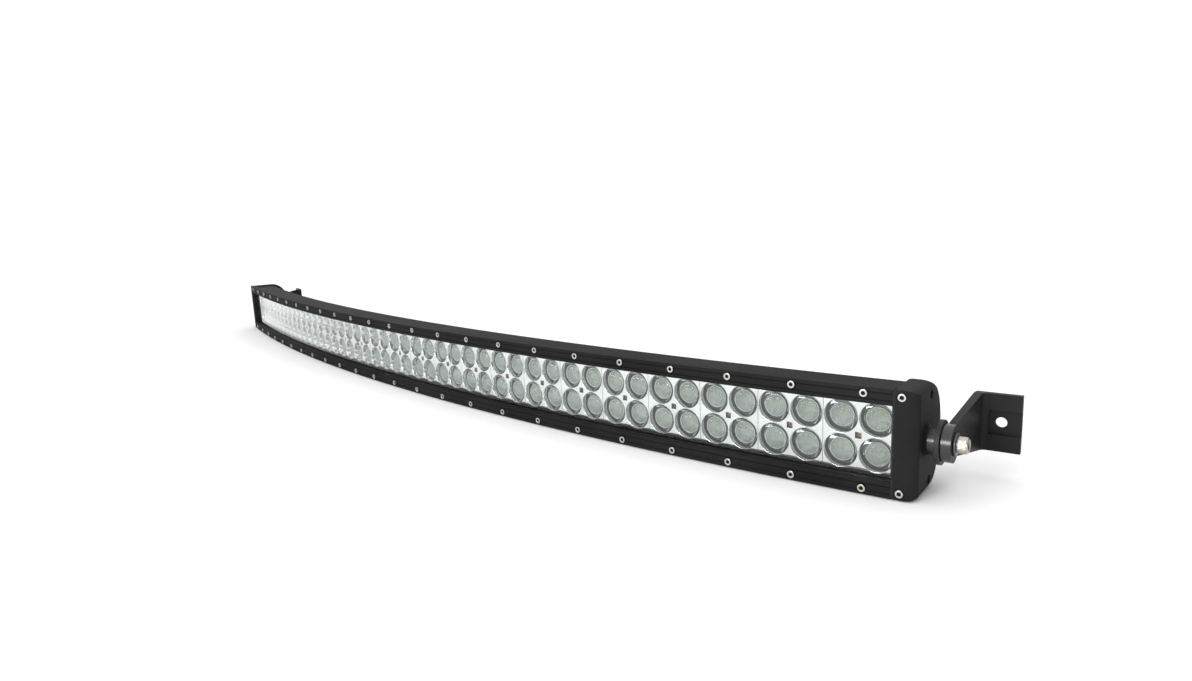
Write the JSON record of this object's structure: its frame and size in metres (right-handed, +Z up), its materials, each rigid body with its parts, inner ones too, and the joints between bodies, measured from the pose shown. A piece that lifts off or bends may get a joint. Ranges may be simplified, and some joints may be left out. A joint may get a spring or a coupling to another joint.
{
  "type": "led light bar",
  "caption": "Slim curved vehicle light bar: finned housing, clear front lens over chrome reflector cups in two rows, clamped bezels, domed end caps and a swivel foot bracket at each end.",
  "frame": {"origin": "middle of the underside of the whole part's box, with the brackets pointing straight back", "axes": "+X along the bar to its right end as a viewer facing the lens sees it, +Y backwards (the lens faces -Y), +Z up"},
  "size_m": [1.311, 0.161, 0.0762],
  "materials": {
    "black_alloy": "satin black powder coat on extruded aluminium, drawn lengthwise",
    "cap_alloy": "fine satin black powder coat on a die-cast end cap",
    "bracket_paint": "satin black powder coat on steel",
    "clear_lens": "clear polycarbonate sheet",
    "rubber": "matte black silicone",
    "reflector_chrome": "mirror-bright vacuum metallising on moulded plastic",
    "board_white": "white solder mask",
    "driver_green": "green solder mask with black parts",
    "stainless": "turned stainless steel",
    "black_plastic": "matte black nylon"
  },
  "bodies": {
    "lamp": {"housing": "black_alloy", "top_bezel": "black_alloy", "bottom_bezel": "black_alloy", "right_end_cap": "cap_alloy", "left_end_cap": "cap_alloy", "lens_cover": "clear_lens", "lens_gasket": "rubber", "cable_gland_seal": "rubber", "right_cap_gasket": "rubber", "left_cap_gasket": "rubber", "reflector_01": "reflector_chrome", "reflector_02": "reflector_chrome", "reflector_03": "reflector_chrome", "reflector_04": "reflector_chrome", "reflector_05": "reflector_chrome", "reflector_06": "reflector_chrome", "reflector_07": "reflector_chrome", "reflector_08": "reflector_chrome", "reflector_09": "reflector_chrome", "reflector_10": "reflector_chrome", "reflector_11": "reflector_chrome", "reflector_12": "reflector_chrome", "reflector_13": "reflector_chrome", "reflector_14": "reflector_chrome", "reflector_15": "reflector_chrome", "reflector_16": "reflector_chrome", "reflector_17": "reflector_chrome", "reflector_18": "reflector_chrome", "reflector_19": "reflector_chrome", "reflector_20": "reflector_chrome", "reflector_21": "reflector_chrome", "reflector_22": "reflector_chrome", "reflector_23": "reflector_chrome", "reflector_24": "reflector_chrome", "led_board_1": "board_white", "led_board_2": "board_white", "led_board_3": "board_white", "led_board_4": "board_white", "driver_board": "driver_green", "right_upper_corner_screw": "stainless", "left_upper_corner_screw": "stainless", "right_lower_corner_screw": "stainless", "left_lower_corner_screw": "stainless", "right_upper_side_screw": "stainless", "left_upper_side_screw": "stainless", "right_lower_side_screw": "stainless", "left_lower_side_screw": "stainless", "right_pivot_bolt": "stainless", "left_pivot_bolt": "stainless", "right_pivot_nut": "stainless", "left_pivot_nut": "stainless", "right_pivot_washer": "stainless", "left_pivot_washer": "stainless", "right_pivot_spacer": "black_plastic", "left_pivot_spacer": "black_plastic", "cable_gland_body": "black_plastic", "cable_gland_nut": "black_plastic", "breather_vent": "black_plastic"},
    "right_bracket": {"right_bracket": "bracket_paint"},
    "left_bracket": {"left_bracket": "bracket_paint"}
  },
  "joints": [
    {"name": "right_bracket_turn", "type": "hinge", "parent": "lamp", "child": "right_bracket", "pos_m": [0.63451, 0.00722, 0.0381], "axis": [0.9812, 0.1928, 0], "continuous": true},
    {"name": "left_bracket_turn", "type": "hinge", "parent": "lamp", "child": "left_bracket", "pos_m": [-0.63451, 0.00722, 0.0381], "axis": [0.9812, -0.1928, 0], "continuous": true}
  ]
}
